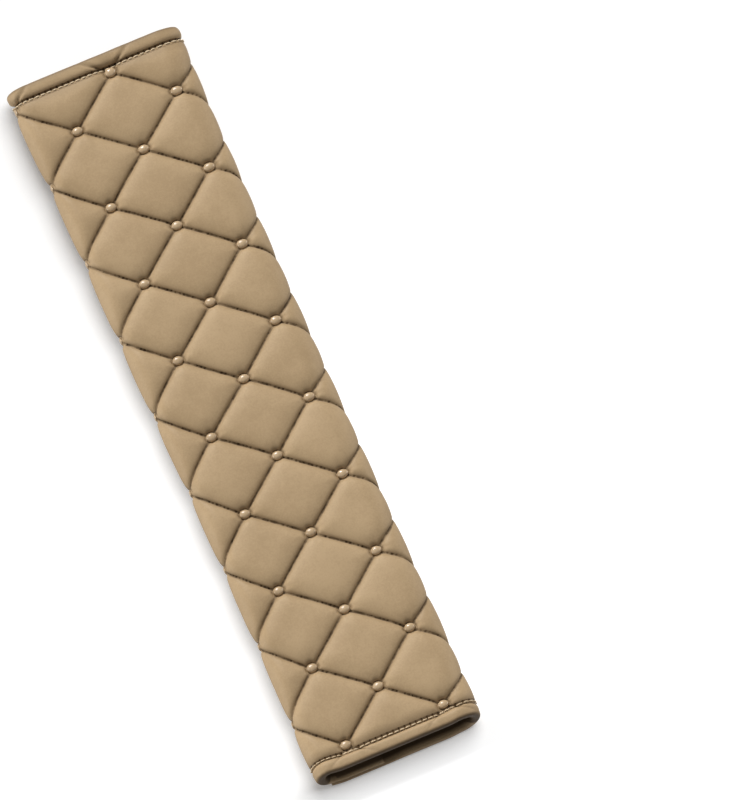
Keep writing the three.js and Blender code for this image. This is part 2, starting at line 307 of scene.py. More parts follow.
# Foam padding: one sheet of open-cell foam, 2.5 mm thick, between the lining and the leatherette. The
# quilting lines press it down into rhombs, so its outer face carries the same puffs as the cover.
far_margin, near_margin, half_pitches_along = 2.3, 3.5, 17
half_pitch_along = (field_length - far_margin - near_margin) / half_pitches_along
line_spacing = 2 * half_pitch_across * half_pitch_along / math.hypot(half_pitch_across, half_pitch_along)
pattern_drift, sum_line_lag = 2.5, 0.18
front_stretch, front_shift, stretched_at, stretch_reach = 0.45, 0.05, 32, 12
random = np.random.default_rng(7)
wave_turns = random.uniform(0, 2 * np.pi, (6, 2))
wave_ways = random.uniform(-1, 1, (6, 2))


def unevenness(u, v, size):
    """A gentle irregular field between about -1 and 1: six crossed sine waves, size millimetres long."""
    total = 0
    for (turn_u, turn_v), (way_u, way_v) in zip(wave_turns, wave_ways):
        wave = np.sin((way_u * u + way_v * v) * 2 * np.pi / size + turn_u)
        total = total + wave * np.cos(turn_v + v / size)
    return total / 3


def padding(u):
    """How much padding the sheet holds: all of it round the channel, none where the flaps overlap."""
    return ease(u_left, u_left + flap_taper, u) * (1 - ease(u_taper, u_thin, u))


def drifted(u, v):
    """The sheet was folded a little off the line of its pattern, so the pattern slides across the pad
    from the far end to the near one, and the front is stretched by a millimetre left of its middle.
    Its cut edges are straight again. The slide is straight in v, and the stretch a tanh of u."""
    hold = ease(u_start, u_left, u) * (1 - ease(u_taper, u_end, u))
    stretch = front_stretch * np.tanh((u - stretched_at) / stretch_reach) - front_shift
    return u + hold * (pattern_drift * (0.5 - v / field_length) + stretch)


def on_floor(u, v, wall):
    """A wall that meets the floor is pressed flat on it: the lesser of its thickness and its height,
    rounded where they meet."""
    facing_down, no_floor, rounding, rounding_reach = 0.05, 1e3, 0.12, 0.18
    _, z, _, nz = section(drifted(u, v))
    room = np.where(nz < -facing_down, z / np.maximum(-nz, facing_down), no_floor)
    less, more = np.minimum(wall, room), np.maximum(wall, room)
    return less - rounding * np.exp(-(more - less) / rounding_reach)


def bow_fall(distance):
    """How far a puff is below its middle, from 1 on a line to 0 half way to the next, as a power."""
    return (1 - np.clip(distance / (line_spacing / 2), 0, 1)) ** 3.6


def lip_fall(distance):
    """The steep lip beside a line, which dies away within a couple of millimetres."""
    return np.exp(-np.clip(distance, 0, None) / 1.1)


def joined(fall, u, v):
    """The falls from the two lines and from the seam, joined as the root of their squares, so that a
    puff dips deepest at its corners, by the bosses. A seam's fall is a little steeper than a line's."""
    first, second = line_distances(u, v)
    return np.sqrt(fall(first) ** 2 + fall(second) ** 2 + fall(seam_distance(v) * 1.3) ** 2)


def pattern_place(u, v):
    """Place in the pattern, across and along, where each line of one direction has a whole sum of the
    two and each line of the other a whole difference. The lines waver by a few tenths of a millimetre,
    and those of the first direction lie a little past the bosses."""
    lag = sum_line_lag / line_spacing / 2
    across = u / (2 * half_pitch_across) + 0.007 * unevenness(u, v, 41) - lag
    along = (v - far_margin) / (2 * half_pitch_along) + 0.006 * unevenness(v, u, 33) - lag
    return across, along


def line_distances(u, v):
    """Distances in millimetres to the nearest quilting line of each direction."""
    across, along = pattern_place(u, v)
    first, second = across + along, across - along
    return (np.abs(first - np.round(first)) * line_spacing,
            np.abs(second - np.round(second)) * line_spacing)


def seam_distance(v):
    """The distance to the nearer hem's seam, and 0 past it."""
    return np.clip(np.minimum(v, field_length - v), 0, None)


def slack(u):
    """How freely the sheet puffs: fully on flat stretches, less where a fold draws it tight."""
    _, _, nx, _ = section(u)
    return 1 - 0.62 * np.abs(nx) ** 1.5


# The pressed sheet is simulated flat: stiff cloth held along its lines, its seams and its cut edges,
# and pushed up by the foam's pressure. What each point rises is kept on a grid of the pattern.
cloth_steps, cloth_frames, foam_pressure, most_rise = 10, 12, 3.0, 0.9
held_beside_line, held_beside_seam = 0.5, 0.8
cloth_u = half_pitch_across / cloth_steps * np.arange(
    math.floor(u_start * cloth_steps / half_pitch_across),
    math.ceil(u_end * cloth_steps / half_pitch_across) + 1)
cloth_v = far_margin + half_pitch_along / cloth_steps * np.arange(
    -1, math.ceil((field_length - far_margin) * cloth_steps / half_pitch_along) + 1)


def simulated_rise():
    """How far the foam lifts each point of the flat sheet above its pressed shape, in millimetres: the
    sheet swells in Blender's cloth simulation, and its rise is capped and smoothed three times over."""
    u, v = cloth_u[None, :], cloth_v[:, None]
    pressed_shape = 0.8 * puff_height * (1 + 0.06 * unevenness(u, v, 45) - joined(bow_fall, u, v))
    rows, columns = pressed_shape.shape
    flat = np.stack(np.broadcast_arrays(u, -v, pressed_shape), -1) * MM
    sheet = make_piece("flat_sheet", flat, grid_quads(rows, columns))
    held = (np.minimum(*line_distances(u, v)) < held_beside_line) | (seam_distance(v) < held_beside_seam)
    held[:, [0, -1]] = True
    pins = sheet.vertex_groups.new(name="held")
    pins.add(np.flatnonzero(held.ravel()).tolist(), 1.0, "REPLACE")
    cloth = sheet.modifiers.new("swell", "CLOTH")
    cloth.collision_settings.use_collision = False
    settings = cloth.settings
    settings.vertex_group_mass = "held"
    settings.effector_weights.gravity = 0
    settings.use_pressure = True
    settings.uniform_pressure_force = foam_pressure
    settings.mass = 0.3
    settings.quality = 5
    settings.tension_stiffness = settings.compression_stiffness = 15
    settings.bending_stiffness = 0.5
    settings.shrink_min = -0.01
    for frame_number in range(1, cloth_frames + 1):
        bpy.context.scene.frame_set(frame_number)
    swollen = sheet.evaluated_get(bpy.context.evaluated_depsgraph_get()).data
    heights = np.empty(rows * columns * 3, np.float32)
    swollen.vertices.foreach_get("co", heights)
    bpy.data.objects.remove(sheet)
    bpy.context.scene.frame_set(1)
    rise = heights.reshape(rows, columns, 3)[..., 2] / MM - pressed_shape
    rise = np.clip(rise, -most_rise, most_rise)
    for _ in range(3):
        rise[1:-1] = (rise[:-2] + 2 * rise[1:-1] + rise[2:]) / 4
        rise[:, 1:-1] = (rise[:, :-2] + 2 * rise[:, 1:-1] + rise[:, 2:]) / 4
    return rise


def cubic_weights(t):
    """The four weights of a Catmull-Rom curve at t between its middle two points."""
    return (-0.5 * t + t * t - 0.5 * t ** 3, 1 - 2.5 * t * t + 1.5 * t ** 3,
            0.5 * t + 2 * t * t - 1.5 * t ** 3, 0.5 * t ** 3 - 0.5 * t * t)


def sampled(grid, u, v):
    """A value of the cloth's grid at any u and v, with smooth cubic steps between its points."""
    rows, columns = grid.shape
    row, column = np.broadcast_arrays((v - cloth_v[0]) / (cloth_v[1] - cloth_v[0]),
                                      (u - cloth_u[0]) / (cloth_u[1] - cloth_u[0]))
    r, c = np.floor(row).astype(int), np.floor(column).astype(int)
    across = cubic_weights(column - c)
    total = 0
    for i, down in enumerate(cubic_weights(row - r)):
        line = grid[np.clip(r + i - 1, 0, rows - 1)[..., None],
                    np.clip(c[..., None] + np.arange(-1, 3), 0, columns - 1)]
        total = total + down * sum(w * line[..., k] for k, w in enumerate(across))
    return total


cloth_rise = simulated_rise()


def to_boss(u, v):
    """How far a point is from its nearest boss's centre, across and along, in millimetres."""
    across = u / half_pitch_across
    along = (v - far_margin) / half_pitch_along
    column = np.round(across)
    row = column + 2 * np.round((along - column) / 2)
    beside = column + np.where(across > column, 1, -1)
    beside_row = beside + 2 * np.round((along - beside) / 2)
    here = (across - column) * half_pitch_across, (along - row) * half_pitch_along
    there = (across - beside) * half_pitch_across, (along - beside_row) * half_pitch_along
    nearer = np.hypot(*here) < np.hypot(*there)
    return np.where(nearer, here[0], there[0]), np.where(nearer, here[1], there[1])


bow_share, lift_share, most_fall = 0.64, 0.6, 1.45
dip_depth, dip_reach, dip_above = 0.42, 3.4, 0.9
crease_count, crease_depth, crease_from_boss, crease_reach = 9, 0.03, 4, 2


def smooth_wall(u, v):
    """The quilted wall's thickness without its grooves: each puff falls to its lines in a bow with a
    steep lip, and is lifted as the simulated sheet was. It dips round the bosses in a bell, a little
    above each of them, and nine faint creases run out from there, as a wave of the angle round it."""
    fall = bow_share * joined(bow_fall, u, v) + (1 - bow_share) * joined(lip_fall, u, v)
    fall = fall - sampled(cloth_rise, u, v) / puff_height * lift_share
    across, along = to_boss(u, v)
    fall = fall + dip_depth * np.exp(-(across ** 2 + (along + dip_above) ** 2) / dip_reach ** 2)
    creases = np.cos(crease_count * np.arctan2(along, across) + 2.5 * unevenness(u, v, 90))
    near = np.exp(-((np.hypot(across, along) - crease_from_boss) / crease_reach) ** 2)
    fall = fall + crease_depth * creases * near
    life = 0.9 + 0.04 * unevenness(u, v, 60)
    puffed = line_wall + puff_height * (life - slack(u) * np.minimum(fall, most_fall))
    return thin_wall + (puffed - thin_wall) * padding(u)


# The sheet's grid has whole steps between the lines, its two cut edges, and no row on a seam
steps, off_seam, off_edge = 40, 0.2, 0.1
grid_u = half_pitch_across / steps * np.arange(
    math.ceil(u_start * steps / half_pitch_across), math.floor(u_end * steps / half_pitch_across) + 1)
grid_u = np.concatenate([[u_start], grid_u[np.abs(grid_u - u_start) > off_edge], [u_end]])
grid_v = far_margin + half_pitch_along / steps * np.arange(
    math.ceil(-far_margin * steps / half_pitch_along + off_seam),
    math.floor((field_length - far_margin) * steps / half_pitch_along - off_seam) + 1)
# What is under the leatherette clears the bottom of the grooves that are pressed into it
under_groove = leather_thickness + 0.55
foam_off_lining, foam_off_cover, thinnest_foam = 0.05, 0.08, 0.05

padded_columns = (grid_u > u_left + flap_taper / 2) & (grid_u < u_taper + flap_taper / 4)
foam_u = grid_u[padded_columns][None, ::4]
foam_v = grid_v[(grid_v > fill_start) & (grid_v < fill_end)][::4, None]
foam_in = lining_thickness + foam_off_lining
foam_out = on_floor(foam_u, foam_v, smooth_wall(foam_u, foam_v)) - under_groove - foam_off_cover
foam_out = np.maximum(foam_out, foam_in + thinnest_foam)
foam_u = drifted(foam_u, foam_v)
foam = closed_wall("foam_sheet", np.concatenate([
    place(foam_u, foam_v, foam_out), place(foam_u[::-1], foam_v[::-1], foam_in)]))
foam_material, where, surface = new_material("open-cell foam", 0.95, 0.2)
cells = where.make("TexVoronoi", {}, {"Vector": where, "Scale": 1600.0})
feed(surface, Base_Color=cells.between(0.0, 0.5).mix((0.5, 0.43, 0.29, 1), (0.79, 0.72, 0.54, 1)))
feed(surface, Normal=cells.bump(0.6, 0.0002))
foam.data.materials.append(foam_material)
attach(foam, "root")
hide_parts("foam_padding")


# Quilted cover: one sheet of tan leatherette, heat-pressed on the foam along crossing lines of
# stitches, with a round boss at each crossing. Both ends are rolled back on themselves and sewn down
# as hems, and the turned ends run a little way into the channel.
stitches_per_side, stitch_pitch, hem_thickness = 16, 2.2, 4.0
groove_width, groove_depth, most_groove, seam_groove_depth, seam_groove_width = 0.5, 0.45, 1.2, 0.35, 0.5
boss_across, boss_along, boss_sunk = 2.12, 1.74, 0.8
seat_edge, seat_end, ring_at, ring_width, ring_depth = 0.8, 1.7, 1.1, 0.2, 0.3


def from_boss(u, v):
    """The distance to the nearest boss's centre as a share of the boss's oval."""
    across, along = to_boss(u, v)
    return np.hypot(across / boss_across, along / boss_along)


def boss_seat(u):
    """The wall's thickness under a boss, which a fold raises with the lines round it."""
    return line_wall + puff_height * (1 - slack(u)) - boss_sunk * slack(u)


def quilted_wall(u, v):
    """The wall's thickness with all that is pressed into it: a narrow bell-shaped groove along each
    line, a flat seat under each boss with a ring groove round it, and a groove beside each seam."""
    first, second = line_distances(u, v)
    wall, share = smooth_wall(u, v), from_boss(u, v)
    groove = np.exp(-(first / groove_width) ** 2) + np.exp(-(second / groove_width) ** 2)
    seat = 1 - ease(seat_edge, seat_end, share)
    ring = np.exp(-((share - ring_at) / ring_width) ** 2)
    wall = wall - padding(u) * groove_depth * np.minimum(groove, most_groove) * (1 - seat)
    wall = wall + padding(u) * seat * (boss_seat(u) - wall) - padding(u) * ring_depth * ring
    wall = wall - seam_groove_depth * np.exp(-(seam_distance(v) / seam_groove_width) ** 2)
    return on_floor(u, v, wall)


roll_squareness, roll_lean, roll_waver = 2 / 3, 0.82, 0.045
line_fade, hem_line_width, pucker_at, pucker_width = 2.6, 0.7, 1.2, 0.8
far_crease, far_pucker, near_crease, near_pucker = 1.6, 1.6, 0.6, 0.2


def hem_roll(u, angle, far):
    """The roll's place past the seam and its depth at an angle round it: a squared ellipse, as thick as
    the folded sheet, wavering a little, with the quilting lines running on faintly and puckers where a
    boss meets it."""
    seam = 0.0 if far else field_length
    crease, gathered = (far_crease, far_pucker) if far else (near_crease, near_pucker)
    thick = thin_hem + (hem_thickness - thin_hem) * padding(u)
    thick = on_floor(u, seam, thick * (1 + roll_waver * unevenness(u, seam, 23)))
    cos, sin = np.cos(angle), np.sin(angle)
    past = hem_length * ((1 - np.sign(cos) * np.abs(cos) ** roll_squareness) / 2) ** roll_lean
    rise = thick / 2 * (1 + np.sign(sin) * np.abs(sin) ** roll_squareness)
    v = seam + (-past if far else past)
    first, second = line_distances(u, v)
    fade = np.exp(-past / line_fade) * (sin > 0)
    line = np.exp(-(first / hem_line_width) ** 2) + np.exp(-(second / hem_line_width) ** 2)
    pucker = np.exp(-((from_boss(u, seam) - pucker_at) / pucker_width) ** 2)
    rise = rise - padding(u) * fade * (crease * line + gathered * pucker)
    return v + 0 * rise, rise


# Angles round a hem's roll run from the seam over its top and its end to its underside
roll_count, roll_from, roll_to, leather_off_lining = 26, 0.04, 1.5, 0.06
roll_angles = (np.linspace(roll_from, roll_to, roll_count) * np.pi)[:, None]
u_row = grid_u[None, :]
far_v, far_depth = hem_roll(u_row, roll_angles[::-1], True)
near_v, near_depth = hem_roll(u_row, roll_angles, False)
tail_far = np.full((1, len(grid_u)), hem_turn_in)
tail_near = field_length - tail_far
back_v = grid_v[(grid_v > fill_start) & (grid_v < fill_end)][::-8][:, None]
inside = on_floor(u_row, back_v, smooth_wall(u_row, back_v)) - leather_thickness
inside = inside + padding(u_row) * (leather_thickness - under_groove)
inside = np.maximum(inside, lining_thickness + leather_off_lining)
field_rows = np.broadcast_to(grid_v[:, None], (len(grid_v), len(grid_u)))
cover_v = np.concatenate([
    tail_far, far_v, field_rows, near_v, tail_near, np.broadcast_to(back_v, inside.shape)])
cover_depth = np.concatenate([
    0 * tail_far, far_depth, quilted_wall(u_row, grid_v[:, None]), near_depth, 0 * tail_near, inside])
cover_rows, cover_columns = cover_depth.shape
cover = closed_wall("leatherette_cover", place(drifted(u_row, cover_v), cover_v, cover_depth))
far_rows = slice(1, 1 + roll_count)
front_rows = slice(far_rows.stop, far_rows.stop + len(grid_v))
near_rows = slice(front_rows.stop, front_rows.stop + roll_count)


def mark(piece, name, *values):
    """Stores one or three values for each point of a piece, for its material to read."""
    kind, key = ("FLOAT_VECTOR", "vector") if len(values) == 3 else ("FLOAT", "value")
    stacked = np.stack(np.broadcast_arrays(*values), -1)
    piece.data.attributes.new(name, kind, "POINT").data.foreach_set(key, stacked.astype(np.float32).ravel())


# Where each point is in the pattern, and how strongly the pattern is pressed there: fully on the front,
# and on the hems' tops less and less with the distance from the seam
far_press, far_press_reach, near_press, near_press_reach = 0.8, 3, 0.5, 3.5
pressed = np.zeros((cover_rows, cover_columns))
far_fade = np.exp(-np.abs(far_v) / far_press_reach)
pressed[far_rows] = far_press * far_fade * (np.sin(roll_angles[::-1]) > 0)
pressed[front_rows] = 1
past_near_seam = near_v - field_length
near_fade = np.exp(-np.abs(past_near_seam) / near_press_reach)
pressed[near_rows] = near_press * near_fade * (np.sin(roll_angles) > 0)
mark(cover, "pattern", *pattern_place(u_row, cover_v), pressed * padding(u_row))

# Painted shade round each boss: a ring in its groove, darker on its far side, and a painted shadow on the
# puff beyond it
rim_shift, rim_at, rim_width, rim_dark, rim_lean = 0.12, 1.08, 0.15, 0.65, 0.35
painted_shadow_dark, painted_shadow_beyond, painted_shadow_across, painted_shadow_along = 0.5, 2.7, 2.6, 1.5
across, along = to_boss(u_row, cover_v)
rim = np.exp(-((from_boss(u_row, cover_v + rim_shift) - rim_at) / rim_width) ** 2)
rim = rim * (rim_dark - rim_lean * np.clip(along / boss_along, -1, 1))
painted_shadow = np.exp(-(across / painted_shadow_across) ** 2 - ((along + painted_shadow_beyond) / painted_shadow_along) ** 2)
mark(cover, "boss_rim", np.maximum(rim, painted_shadow_dark * painted_shadow))

# Distances from the two seams, and the place along a hem's row in stitches
row_inset = 2
hem_row_start, hem_row_end = u_start + row_inset, u_end - row_inset
hem_stitch_count = int((hem_row_end - hem_row_start) / stitch_pitch)
stitch_place = (u_row - hem_row_start) / (hem_row_end - hem_row_start) * hem_stitch_count
mark(cover, "seams", cover_v, field_length - cover_v, stitch_place)

# Painted shade where the leatherette turns to the inside, in the shade of the hems and the channel: a
# little on the hems' tops, more past the top of the far hem's roll, on the near hem before the roll's end
# above the channel, and inside its end below the channel
far_top_dark, far_inside_dark, near_top_dark, near_under_dark = 0.03, 0.6, 0.05, 0.4
near_turn_at, turn_later_on_flap, turn_later_below, turn_width = 4.3, 1.5, 2.2, 1.3
underneath = -section(u_row)[3]
inside_shade = np.ones((cover_rows, cover_columns))
inside_shade[far_rows] = far_top_dark + far_inside_dark * ease(0.5, 0.75, roll_angles[::-1] / np.pi)
inside_shade[front_rows] = 0
round_roll = np.where(roll_angles < np.pi, past_near_seam, 2 * hem_length - past_near_seam)
turn_later = np.where(u_row < u_left, turn_later_on_flap, turn_later_below) * ease(0.5, 0.95, underneath)
turned = ease(0, turn_width, round_roll - (near_turn_at + turn_later))
inside_shade[near_rows] = np.maximum(near_top_dark + (1 - near_top_dark) * turned,
                                  near_under_dark * ease(0.3, 0.9, underneath))
mark(cover, "inside_shade", inside_shade)

# A map of the sheet for baking: its own rows and columns, and its two cut edges in narrow strips beside
map_rows = np.arange(cover_rows + 1) / (cover_rows + 2)
map_columns = (grid_u - u_start) / (u_end - u_start) * 0.98
row_of, column_of = np.divmod(grid_quads(cover_rows, cover_columns, closed=True), cover_columns)
row_of[:, 1:3] = row_of[:, :1] + 1
quad_map = np.stack([map_columns[column_of], map_rows[row_of]], -1).reshape(-1, 2)
start_edge_map = np.stack([np.full(cover_rows, 0.985), map_rows[:-1]], -1)
end_edge_map = np.stack([np.full(cover_rows, 0.99), map_rows[:-1][::-1]], -1)
sheet_map = cover.data.uv_layers.new(name="OFBake")
sheet_map.data.foreach_set("uv", np.concatenate(
    [quad_map, start_edge_map, end_edge_map]).astype(np.float32).ravel())


def marked(where, name, output="Fac"):
    """What mark stored on the piece under a name: one value, or with output "Vector" all three."""
    return where.make("Attribute", {"attribute_name": name}, {}, output)


def strongest(first, *others):
    """The greatest of some values."""
    for other in others:
        first = first.math("MAXIMUM", other)
    return first


def line_mask(across_lines, along_line):
    """How strongly a point is in a line's groove, in one of its stitch holes, and in the shaded strip on
    both sides of it: smooth steps of the distance, and for a hole also of the place between stitches."""
    distance = (across_lines - across_lines.math("ROUND")).math("ABSOLUTE") * line_spacing
    off_beat = ((along_line * stitches_per_side).math("FRACT") - 0.5).math("ABSOLUTE")
    hole = off_beat.between(0.08, 0.36, 1, 0) * distance.between(0.2, 0.6, 1, 0)
    return distance.between(0.2, 0.85, 1, 0), hole, distance.between(0.3, 2.2, 1, 0)


def seam_line(distance, middle, inner, outer, strength=1):
    """A dark line along a seam: strength up to inner from its middle, and nothing past outer."""
    return (distance - middle).math("ABSOLUTE").between(inner, outer, strength, 0)


def beside_seam(distance, reach, strength):
    """Shade on the puffs beside a seam, which starts past its groove and is gone at reach."""
    return distance.between(0.6, 1.2) * distance.between(1.0, reach, strength, 0)


tan_low, tan_high = (0.402, 0.281, 0.156, 1), (0.458, 0.326, 0.186, 1)
# Colours of painted shade: in the grooves, beside the lines and round the bosses, and inside the hems
in_shade, inside_shade_colour = (0.05, 0.027, 0.01, 1), (0.05, 0.028, 0.011, 1)
leather, where, surface = new_material("tan leatherette", 0.56, 0.2)
pattern_across, pattern_along, pressed_here = marked(where, "pattern", "Vector").split()
first, second = pattern_across + pattern_along, pattern_across - pattern_along
first_line, first_holes, first_side = line_mask(first, second)
second_line, second_holes, second_side = line_mask(second, first)
line = strongest(first_line * 0.86, second_line) * pressed_here
broken = where.noise(430.0, 1.0).between(0.42, 0.58)
holes = strongest(first_holes * 0.35, second_holes) * broken * pressed_here
line_side = strongest(first_side, second_side) * pressed_here
# Painted shade round the bosses, as boss_rim stored it
ring_mask = marked(where, "boss_rim").between(0.15, 0.95) * pressed_here

from_far, from_near, stitch_at = marked(where, "seams", "Vector").split()
between_stitches = (stitch_at.math("FRACT") - 0.5).math("ABSOLUTE").between(0.28, 0.46, 0.7, 1.0)
# Painted shadow along the seams: under the hems' rolls and under the stitches, darkest between stitches at
# the needle holes
seam_dark = strongest(
    seam_line(from_far, 0.0, 0.2, 0.55),
    seam_line(from_far, 1.4, 0.1, 0.4, 0.55),
    seam_line(from_near, 1.35, 0.2, 0.6),
    seam_line(from_near, 0.05, 0.1, 0.35, 0.5),
)

cloudy = where.noise(45.0, 3.0, 0.6)
mottle = where.noise(330.0, 3.0, 0.6)
fine = where.noise(1400.0, 4.0, 0.6)
line_patches = where.noise(320.0, 2.0).between(0.3, 0.7, 0.38, 0.86)
grain = where.make("TexVoronoi", {}, {"Vector": where, "Scale": 2600.0})
# Painted shade in the base colour: the lines' grooves and stitch holes, partly the pressed lines' own
# colour and partly painted shade, in patches; and painted shade beside the lines, round the bosses, along
# the seams and on the puffs beside the seams
dark = strongest(
    line * line_patches + holes * 0.38,
    ring_mask * 0.8,
    line_side * 0.16,
    seam_dark * between_stitches,
    beside_seam(from_near, 6.0, 0.36),
    beside_seam(from_far, 5.0, 0.18),
)
tone = cloudy * 0.4 + mottle * 0.2 + fine * 0.4
tan_tone = dark.mix(tone.between(0.38, 0.62).mix(tan_low, tan_high), in_shade)
# Painted shade where the sheet turns to the inside
feed(surface, Base_Color=(marked(where, "inside_shade") * 0.92).mix(tan_tone, inside_shade_colour))
feed(surface, Roughness=cloudy * 0.12 + 0.47 + line * 0.2)
feed(surface, Normal=(fine * 0.5 + grain * 0.25 - holes * 1.6).bump(0.5, 0.00011))
cover.data.materials.append(leather)
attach(cover, "root")
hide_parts("quilted_cover")


# Pressed bosses: smooth oval domes of the same leatherette, pushed up at the crossings of the quilting
# lines by the embossing plate. They sit in the ring grooves of the cover.
boss_height, dome_rings, dome_sides = 1.35, 7, 20
dome_from, dome_to, foot_depth = -0.35, 1.36, 0.4
boss_list = [(column * half_pitch_across, far_margin + row * half_pitch_along)
             for column in range(int(u_taper // half_pitch_across) + 1)
             for row in range(column % 2, half_pitches_along + 1, 2)]
boss_u, boss_v = np.array(boss_list).T


def closed_tubes(count, rings, around):
    """Faces of count like tubes. The points of each are its rings, then the pole that closes its first
    ring, and then the pole that closes its last one."""
    r, c = np.arange(rings - 1)[:, None], np.arange(around)[None, :]
    after = (c + 1) % around
    quads = np.stack(np.broadcast_arrays(
        r * around + c, r * around + after, (r + 1) * around + after, (r + 1) * around + c), -1)
    c, after = c[0], after[0]
    last, poles = (rings - 1) * around, rings * around
    fans = np.concatenate([
        np.stack([after, c, np.full(around, poles)], -1),
        np.stack([last + c, last + after, np.full(around, poles + 1)], -1)])
    shift = (np.arange(count) * (poles + 2))[:, None, None]
    return (quads.reshape(-1, 4) + shift).reshape(-1, 4), (fans + shift).reshape(-1, 3)


def domes(centre_u, centre_v):
    """A dome on each centre: its radius shrinks as the cosine of an angle and its height grows as the
    sine, with the lowest ring sunk below the cover, and a pole on top and under the foot."""
    angle = np.linspace(dome_from, dome_to, dome_rings)[None, :, None]
    turn = np.linspace(0, 2 * np.pi, dome_sides, endpoint=False)[None, None, :]
    radius = np.cos(np.clip(angle, 0, None)) ** 0.8 - 0.1 * (angle < 0)
    radius = radius * (0.5 + 0.5 * slack(centre_u))[:, None, None]
    u = centre_u[:, None, None] - boss_across * radius * np.cos(turn)
    v = centre_v[:, None, None] + boss_along * radius * np.sin(turn)
    rise = boss_height * np.sin(angle) + 0 * turn
    base = on_floor(centre_u, centre_v, boss_seat(centre_u))
    top = on_floor(centre_u, centre_v, base + boss_height * slack(centre_u) ** 1.5) - base
    skin = place(drifted(u, v), v, base[:, None, None] + rise * (top / boss_height)[:, None, None])
    middle_u = drifted(centre_u, centre_v)
    foot = place(middle_u, centre_v, base - foot_depth * top)[:, None, :]
    peak = place(middle_u, centre_v, base + top)[:, None, :]
    points = np.concatenate([skin.reshape(len(centre_u), -1, 3), foot, peak], 1)
    return points, *closed_tubes(len(centre_u), dome_rings, dome_sides)


bosses = make_piece("pressed_bosses", *domes(boss_u, boss_v))
boss_leather, where, surface = new_material("tan leatherette, pressed smooth", 0.27, 0.7)
cloudy = where.noise(260.0, 2.0)
feed(surface, Base_Color=cloudy.between(0.3, 0.7).mix((0.47, 0.335, 0.195, 1), (0.53, 0.385, 0.232, 1)))
feed(surface, Normal=where.noise(1400.0, 4.0).bump(0.2, 0.0001))
bosses.data.materials.append(boss_leather)
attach(bosses, "root")
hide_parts("quilted_cover")


# Hem stitches: a row of lockstitches in beige polyester thread beside each hem, through both layers of
# the folded sheet. Each stitch lies in the seam's groove and dives into a needle hole at both ends.
stitch_length, thread_radius, rod_rings, rod_sides, rod_turn = 1.85, 0.26, 9, 8, 1.35
far_row_at, near_row_before_seam = 0.75, 0.6
thread_off_wall, thread_off_floor, any_wall = 0.42, 0.3, 9
thread_material, where, surface = new_material("twisted polyester thread", 0.55, 0.4)
twist = where.make("TexWave", {"wave_type": "BANDS", "bands_direction": "DIAGONAL"},
                   {"Vector": where, "Scale": 900.0, "Distortion": 1.0})
feed(surface, Base_Color=twist.mix((0.55, 0.42, 0.265, 1), (0.76, 0.61, 0.41, 1)))
feed(surface, Normal=twist.bump(0.5, 0.00005))


def stitches(name, node, start_at, end_at, point_at, radius=thread_radius, bow=0.34):
    """A row of stitches from start_at to end_at. point_at(s, across, out) gives the points of the row in
    metres. A stitch is a round rod that thins and, as the square of the way to its ends, sinks."""
    count = int((end_at - start_at) / stitch_pitch)
    centres = start_at + (np.arange(count) + 0.5) * (end_at - start_at) / count
    share = np.sin(np.linspace(-rod_turn, rod_turn, rod_rings))[None, :, None]
    turn = np.linspace(0, 2 * np.pi, rod_sides, endpoint=False)[None, None, :]
    thick = radius * (1 - np.abs(share) ** 5) ** 0.5
    s = centres[:, None, None] + share * stitch_length / 2
    skin = point_at(s + 0 * turn, thick * np.cos(turn), thick * np.sin(turn) - bow * share ** 2)
    ends = point_at(centres[:, None] + np.array([-1, 1]) * stitch_length / 2, np.zeros((1, 2)),
                    np.full((1, 2), -bow))
    points = np.concatenate([skin.reshape(count, -1, 3), ends], 1)
    row = make_piece(name, points, *closed_tubes(count, rod_rings, rod_sides))
    row.data.materials.append(thread_material)
    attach(row, "root")
    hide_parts(node)


def hem_row_points(seam):
    """Gives a hem row's points: on the pressed wall and clear of it, but never below the floor."""
    def point_at(s, across, out):
        room = on_floor(s, seam, any_wall) - thread_off_floor
        depth = np.minimum(quilted_wall(s, seam) + thread_off_wall, room)
        return place(drifted(s, seam), seam + across, depth + out)
    return point_at


stitches("far_hem_stitches", "far_hem_thread", hem_row_start, hem_row_end, hem_row_points(far_row_at))
stitches("near_hem_stitches", "near_hem_thread", hem_row_start, hem_row_end,
         hem_row_points(field_length - near_row_before_seam))


# Closure: a hook tape on the outer flap and a loop tape on the inner one, woven nylon strips with a
# pile, pressed together underneath the pad. Two rows of stitches hold each of them on its flap.
tape_end_gap, tape_sides, tape_steps = 3, 40, 120
tape_length = field_length - 2 * (fill_start + tape_end_gap)
tape_material, where, surface = new_material("hook and loop pile", 0.95, 0.2, 0.2)
pile = where.make("TexVoronoi", {}, {"Vector": where, "Scale": 1500.0})
feed(surface, Base_Color=pile.between(0.1, 0.6).mix((0.42, 0.3, 0.18, 1), (0.24, 0.165, 0.09, 1)))
feed(surface, Normal=pile.bump(0.8, 0.0002, invert=True))


def tape(name, node, bottom, wave):
    """A strip with rounded long edges: its section is a squared ellipse, and its pile's face waves by a
    few hundredths of a millimetre."""
    angle = np.linspace(0, 2 * np.pi, tape_sides, endpoint=False)[:, None]
    y = np.linspace(-tape_length / 2, tape_length / 2, tape_steps)[None, :]
    cos, sin = np.cos(angle), np.sin(angle)
    x = tape_centre - tape_width / 2 * np.sign(cos) * np.abs(cos) ** 0.25 + 0 * y
    z = 1 + np.sign(sin) * np.abs(sin) ** 0.5 * (1 + 0.03 * np.sin(y * wave))
    z = bottom + tape_thickness / 2 * z
    strip = closed_wall(name, np.stack([x, y + 0 * x, z], -1) * MM)
    strip.data.materials.append(tape_material)
    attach(strip, "root")
    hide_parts(node)


tape("hook_strip", "hook_tape", hook_bottom, 1.1)
tape("loop_strip", "loop_tape", loop_bottom, 1.7)

